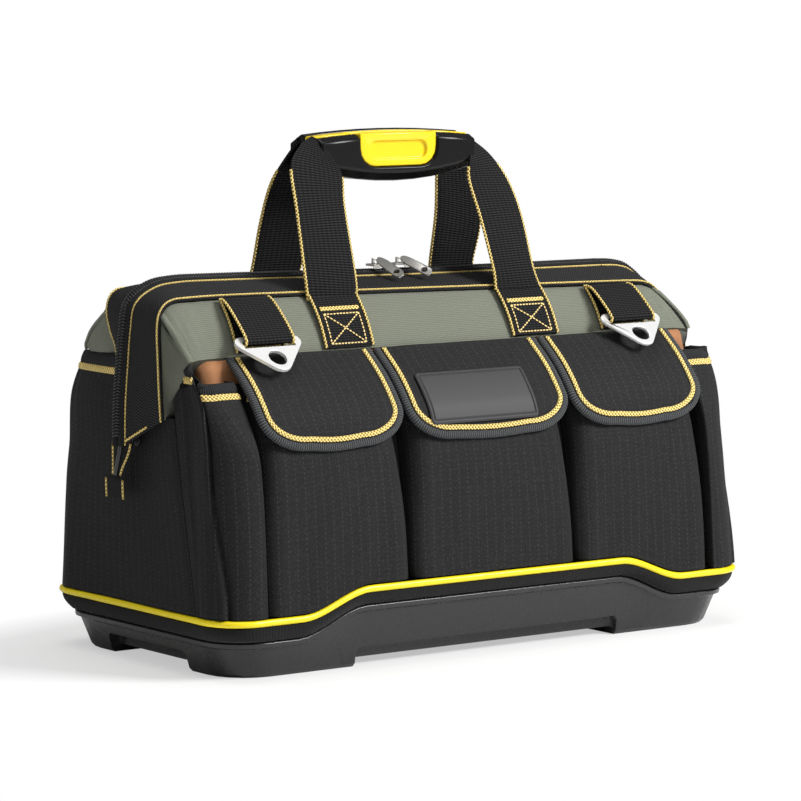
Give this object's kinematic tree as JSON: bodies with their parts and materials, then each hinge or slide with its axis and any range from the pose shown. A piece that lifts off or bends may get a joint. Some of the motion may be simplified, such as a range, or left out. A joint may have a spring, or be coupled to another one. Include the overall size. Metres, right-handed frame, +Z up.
{
  "type": "tool bag",
  "caption": "Wide-mouth tool bag on a moulded base, with flap pockets, a hinged zipped mouth, ring plates and a split carrying grip.",
  "frame": {"origin": "centre of the base's footprint, on the plane its four feet stand on", "axes": "+Z up, -Y the front with the flaps and rings, +X to the right seen from the front"},
  "size_m": [0.4666, 0.2222, 0.347],
  "materials": {
    "black_plastic": "satin",
    "black_fabric": "woven",
    "grey_green_fabric": "fine ribbed",
    "yellow_cord": "piping",
    "yellow_plastic": "satin",
    "black_webbing": "ribbed webbing",
    "black_rubber": "moulded",
    "polished_steel": "polished",
    "spring_steel": "plain",
    "nickel": "plated",
    "grey_board": "plain"
  },
  "bodies": {
    "bag": {"base_tray": "black_plastic", "floor_board": "grey_board", "yellow_piping": "yellow_cord", "binding_tape": "black_fabric", "body_shell": "black_fabric", "front_pocket_left": "black_fabric", "front_pocket_centre": "black_fabric", "front_pocket_right": "black_fabric", "rear_pocket_left": "black_fabric", "rear_pocket_centre": "black_fabric", "rear_pocket_right": "black_fabric", "corner_sleeve_left": "black_fabric", "corner_sleeve_right": "black_fabric", "end_pocket_left": "black_fabric", "end_pocket_right": "black_fabric", "flap_head_left": "black_fabric", "flap_head_centre": "black_fabric", "flap_head_right": "black_fabric", "upper_panel_front": "grey_green_fabric", "upper_panel_rear": "grey_green_fabric", "handle_patch_left_front": "black_webbing", "handle_patch_right_front": "black_webbing", "handle_patch_left_rear": "black_webbing", "handle_patch_right_rear": "black_webbing", "ring_strip_left": "black_webbing", "ring_strip_right": "black_webbing", "pivot_pin_left": "nickel", "pivot_pin_right": "nickel", "zip_tail_left": "black_fabric", "zip_tail_right": "black_fabric"},
    "front_frame": {"mouth_band_front": "black_webbing", "mouth_frame_front": "spring_steel", "zip_tape_front": "black_fabric", "zip_coil_front": "black_plastic"},
    "rear_frame": {"mouth_band_rear": "black_webbing", "mouth_frame_rear": "spring_steel", "zip_tape_rear": "black_fabric", "zip_coil_rear": "black_plastic"},
    "ring_loops": {"ring_loop_left": "black_webbing", "ring_loop_right": "black_webbing"},
    "ring_left": {"ring_left": "polished_steel"},
    "ring_right": {"ring_right": "polished_steel"},
    "slider_left": {"slider_left": "nickel"},
    "slider_right": {"slider_right": "nickel"},
    "pull_left": {"pull_left": "nickel"},
    "pull_right": {"pull_right": "nickel"},
    "flap_left": {"flap_left": "black_fabric"},
    "flap_centre": {"flap_centre": "black_fabric", "name_plate": "black_rubber"},
    "flap_right": {"flap_right": "black_fabric"},
    "front_handle": {"handle_strap_left_front": "black_webbing", "handle_strap_right_front": "black_webbing", "grip_front_shell": "black_plastic"},
    "rear_handle": {"handle_strap_left_rear": "black_webbing", "handle_strap_right_rear": "black_webbing", "grip_rear_shell": "black_plastic", "grip_core": "yellow_plastic"},
    "grip_button": {"grip_button": "yellow_plastic"}
  },
  "joints": [
    {"name": "mouth_front", "type": "hinge", "parent": "bag", "child": "front_frame", "pos_m": [0, 0, 0.148], "axis": [1, 0, 0], "range_deg": [0, 40], "deforming": ["upper_panel_front", "handle_patch_left_front", "handle_patch_right_front", "ring_strip_left", "ring_strip_right"]},
    {"name": "mouth_rear", "type": "hinge", "parent": "bag", "child": "rear_frame", "pos_m": [0, 0, 0.148], "axis": [-1, 0, 0], "range_deg": [0, 40], "deforming": ["upper_panel_rear", "handle_patch_left_rear", "handle_patch_right_rear"]},
    {"name": "ring_loops_follow", "type": "hinge", "parent": "front_frame", "child": "ring_loops", "pos_m": [0, -0.03869, 0.23993], "axis": [1, 0, 0], "range_deg": [-33, 0]},
    {"name": "slider_left_slide", "type": "slide", "parent": "front_frame", "child": "slider_left", "axis": [1, 0, 0], "range_m": [-0.162, 0]},
    {"name": "slider_right_slide", "type": "slide", "parent": "front_frame", "child": "slider_right", "axis": [1, 0, 0], "range_m": [0, 0.171]},
    {"name": "pull_left_flip", "type": "hinge", "parent": "slider_left", "child": "pull_left", "pos_m": [-0.022, 0, 0.2583], "axis": [1, 0, 0], "range_deg": [-200, 0]},
    {"name": "pull_right_flip", "type": "hinge", "parent": "slider_right", "child": "pull_right", "pos_m": [-0.002, 0, 0.2583], "axis": [1, 0, 0], "range_deg": [-200, 0]},
    {"name": "ring_left_swing", "type": "hinge", "parent": "ring_loops", "child": "ring_left", "pos_m": [-0.1565, -0.06231, 0.21547], "axis": [1, 0, 0], "range_deg": [-110, 0]},
    {"name": "ring_right_swing", "type": "hinge", "parent": "ring_loops", "child": "ring_right", "pos_m": [0.1475, -0.06231, 0.21547], "axis": [1, 0, 0], "range_deg": [-110, 0]},
    {"name": "flap_left_lift", "type": "hinge", "parent": "bag", "child": "flap_left", "pos_m": [0, -0.08526, 0.18109], "axis": [1, 0, 0], "range_deg": [-130, 0]},
    {"name": "flap_centre_lift", "type": "hinge", "parent": "bag", "child": "flap_centre", "pos_m": [0, -0.06897, 0.19668], "axis": [1, 0, 0], "range_deg": [-110, 0]},
    {"name": "flap_right_lift", "type": "hinge", "parent": "bag", "child": "flap_right", "pos_m": [0, -0.08526, 0.18109], "axis": [1, 0, 0], "range_deg": [-130, 0]},
    {"name": "front_handle_fold", "type": "hinge", "parent": "front_frame", "child": "front_handle", "pos_m": [0, -0.03913, 0.23673], "axis": [1, 0, 0], "range_deg": [0, 75]},
    {"name": "rear_handle_fold", "type": "hinge", "parent": "rear_frame", "child": "rear_handle", "pos_m": [0, 0.03913, 0.23673], "axis": [-1, 0, 0], "range_deg": [0, 75]},
    {"name": "button_press", "type": "slide", "parent": "front_handle", "child": "grip_button", "axis": [0, 1, 0], "range_m": [0, 0.003], "stiffness_N_per_m": 300, "springref_m": -0.001}
  ],
  "couplings": [
    {"joint": "mouth_rear", "follows": "mouth_front", "ratio": 1},
    {"joint": "ring_loops_follow", "follows": "mouth_front", "ratio": -0.8},
    {"joint": "slider_left_slide", "follows": "mouth_front", "m_per_rad": -0.229},
    {"joint": "slider_right_slide", "follows": "mouth_front", "m_per_rad": 0.2449}
  ]
}
